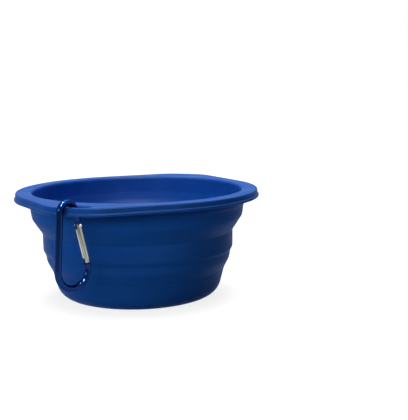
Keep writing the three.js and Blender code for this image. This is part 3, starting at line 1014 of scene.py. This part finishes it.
def seen_plainly(tree):
    """1 where the camera, a mirror or clear material looks at the surface, and 0 for the light it gives."""
    path = put(tree, "ShaderNodeLightPath").outputs
    mirrored = maths(tree, "ADD", path["Is Camera Ray"], path["Is Glossy Ray"])
    return maths(tree, "ADD", mirrored, path["Is Transmission Ray"])


def dim_in_front(tree, vector, depths, settings):
    """1 to the camera; to all else it falls to the room's level in front of the bowl.

    The vector's part along the stage, towards the backdrop, is dim at the first depth and full at the second.
    """
    heading = settings.camera_heading
    backwards = (-math.sin(heading), math.cos(heading), 0)
    depth = put(tree, "ShaderNodeVectorMath", {0: vector, 1: backwards}, operation="DOT_PRODUCT")
    rising = eased(tree, depth.outputs["Value"], *depths, low=settings.room)
    camera = put(tree, "ShaderNodeLightPath").outputs["Is Camera Ray"]
    return maths(tree, "MAXIMUM", rising, camera)


def white_world(settings, finishes):
    """Surroundings: white to the eye, and a plain even level as light.

    What mirrors them shows the white backdrop at the back and a dimmer room in front of it.
    """
    world = bpy.data.worlds.new("studio")
    world.use_nodes = True
    tree = world.node_tree
    direction = put(tree, "ShaderNodeTexCoord").outputs["Generated"]
    shown = dim_in_front(tree, direction, ROOM_DEPTHS, settings)
    strength = ranged(tree, seen_plainly(tree), low=settings.ambient, high=shown)
    feed(tree, tree.nodes["Background"], {"Color": (*finishes.backdrop, 1), "Strength": strength})
    bpy.context.scene.world = world


def floor_finish(settings, finishes):
    """Pale floor: a dull surface that takes the shadow, and a glow that grows away from the bowl, which
    paints a shadow round its foot.
    """
    material, tree = new_material("pale_floor")
    tree.nodes.remove(tree.nodes["Principled BSDF"])
    eye = seen_plainly(tree)
    place = object_place(tree)
    away = put(tree, "ShaderNodeVectorMath", {0: place}, operation="LENGTH").outputs["Value"]
    # Painted shadow: the glow is lower close to the bowl's foot
    seen = maths(tree, "MULTIPLY", eased(tree, away, *PAINTED_SHADOW_RADII, low=settings.painted_shadow_glow), eye)
    strength = maths(tree, "MULTIPLY", seen, dim_in_front(tree, place, FLOOR_DEPTHS, settings))
    glow = put(tree, "ShaderNodeEmission", {"Color": (*finishes.backdrop, 1), "Strength": strength})
    given_back = ranged(tree, eye, settings.floor_bounce, settings.floor_shade)
    dull = put(tree, "ShaderNodeBsdfDiffuse", {"Color": given_back})
    both = put(tree, "ShaderNodeAddShader", {0: dull.outputs["BSDF"], 1: glow.outputs["Emission"]})
    feed(tree, tree.nodes["Material Output"], {"Surface": both.outputs["Shader"]})
    return material


def floor_rings():
    """Rings of the floor: a round slab whose top lies just under the bowl's base."""
    turn = full_circle(FLOOR_SIDES)
    top = FOOT_LOW.z - FLOOR_DROP
    under = top - FLOOR_DEPTH
    radii = np.array([FLOOR_POLE, FLOOR_RADIUS, FLOOR_RADIUS, FLOOR_POLE])[:, None]
    heights = np.array([top, top, under, under])[:, None]
    return np.stack(np.broadcast_arrays(radii * np.cos(turn), radii * np.sin(turn), heights), axis=-1)


def lamp(name, size, watts, place, target, sparkle):
    """A lamp of a width and height, at a place, turned to a target; a sparkle lamp only glints."""
    data = bpy.data.lights.new(name, "AREA")
    data.shape = "RECTANGLE"
    data.size, data.size_y = size
    data.energy = watts
    made = bpy.data.objects.new(name, data)
    made.location = place
    made.rotation_euler = (Vector(target) - Vector(place)).to_track_quat("-Z", "Y").to_euler()
    made.visible_camera = False
    made.visible_diffuse = not sparkle
    bpy.context.scene.collection.objects.link(made)


class PETBOWL_OT_stage(bpy.types.Operator):
    """Make the pale floor, the white surroundings, the lamps and the camera"""

    bl_idname = "petbowl.stage"
    bl_label = "Stage"

    def execute(self, context):
        scene = context.scene
        settings = scene.petbowl_stage
        finishes = scene.petbowl_finishes
        scene.view_settings.view_transform = "Standard"
        white_world(settings, finishes)

        floor = make_piece("floor", floor_rings(), floor_finish(settings, finishes))

        on_bowl = {"target": BOWL_MIDDLE, "sparkle": False}
        lamp("softbox", size=(0.8, 0.8), watts=settings.softbox_power, place=(-0.05, 0.3, 1.0), **on_bowl)
        lamp("fill", size=(1.0, 0.3), watts=settings.fill_power, place=(-0.2, -0.93, 0.36), **on_bowl)
        on_clip = {"target": JOINTS["clip_swing"]["pos_m"], "sparkle": True, "size": (0.15, 0.15)}
        lamp("spark_high", watts=settings.spark_power, place=(0.03, -0.2, 1.0), **on_clip)
        lamp("spark_front", watts=settings.spark_power, place=(0.37, -0.59, 0.73), **on_clip)

        data = bpy.data.cameras.new("camera")
        data.lens = settings.camera_lens
        data.sensor_width = SENSOR_WIDTH
        camera = bpy.data.objects.new("camera", data)
        camera.matrix_world = (
            Matrix.Translation(settings.camera_place)
            @ Matrix.Rotation(settings.camera_heading, 4, "Z")
            @ Matrix.Rotation(math.pi / 2 - settings.camera_tilt, 4, "X")
            @ Matrix.Rotation(settings.camera_roll, 4, "Z")
        )
        scene.collection.objects.link(camera)
        scene.camera = camera
        return {"FINISHED"}


class PETBOWL_PT_panel(bpy.types.Panel):
    """Lists the bowl's pieces and its stage"""

    bl_idname = "PETBOWL_PT_panel"
    bl_label = "Pet bowl"
    bl_space_type = "VIEW_3D"
    bl_region_type = "UI"
    bl_category = "Pet bowl"

    def draw(self, context):
        for operator in OPERATORS:
            self.layout.operator(operator.bl_idname)


GROUPS = (
    ("petbowl_bowl", BowlSizes),
    ("petbowl_clip", ClipSizes),
    ("petbowl_finishes", Finishes),
    ("petbowl_stage", StageSettings),
)
OPERATORS = (
    PETBOWL_OT_stage,
    PETBOWL_OT_bowl,
    PETBOWL_OT_clip_bow,
    PETBOWL_OT_clip_gate,
    PETBOWL_OT_clip_pins,
)
CLASSES = (*dict(GROUPS).values(), *OPERATORS, PETBOWL_PT_panel)


def register():
    for item in CLASSES:
        bpy.utils.register_class(item)
    for name, group in GROUPS:
        setattr(bpy.types.Scene, name, PointerProperty(type=group))


def unregister():
    for name, _ in GROUPS:
        delattr(bpy.types.Scene, name)
    for item in reversed(CLASSES):
        bpy.utils.unregister_class(item)


def main():
    register()
    bpy.ops.petbowl.stage()
    bpy.ops.petbowl.bowl()
    bpy.ops.petbowl.clip_bow()
    bpy.ops.petbowl.clip_gate()
    bpy.ops.petbowl.clip_pins()


if __name__ == "__main__":
    main()
